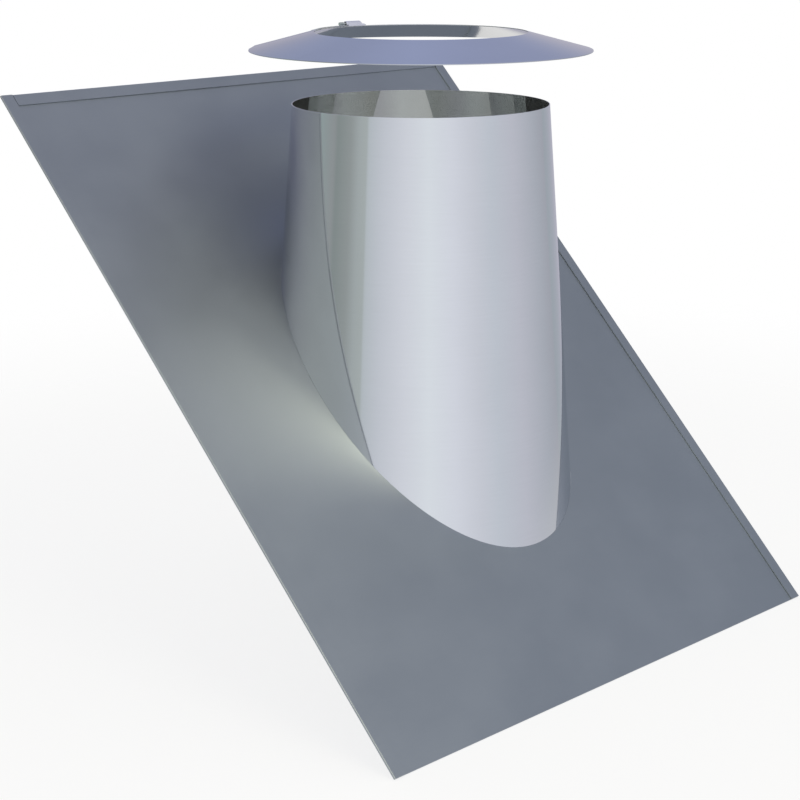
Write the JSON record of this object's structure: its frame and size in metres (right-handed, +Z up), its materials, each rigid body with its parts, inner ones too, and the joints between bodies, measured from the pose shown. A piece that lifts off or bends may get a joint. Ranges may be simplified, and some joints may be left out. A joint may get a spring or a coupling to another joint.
{
  "type": "pipe flashing boot",
  "caption": "Pitched-roof flashing for a round flue: hemmed plate, upright tapered sleeve, and a split storm collar with a worm-drive clamp, shown lifted off.",
  "frame": {"origin": "where the flue's axis meets the roof plane, which is the underside of the base plate", "axes": "+Z up along the flue, +Y up the roof (level), +X across the roof"},
  "size_m": [0.59, 0.5179, 0.5786],
  "materials": {
    "plate_sheet": "satin mill finish",
    "sleeve_sheet": "bright, mirror-like",
    "collar_sheet": "bright satin",
    "clamp_steel": "satin",
    "screw_steel": "satin"
  },
  "bodies": {
    "root": {"base_plate": "plate_sheet", "flashing_sleeve": "sleeve_sheet", "storm_collar": "collar_sheet", "clamp_strap": "clamp_steel", "clamp_housing": "clamp_steel", "clamp_screw": "screw_steel"}
  },
  "joints": []
}
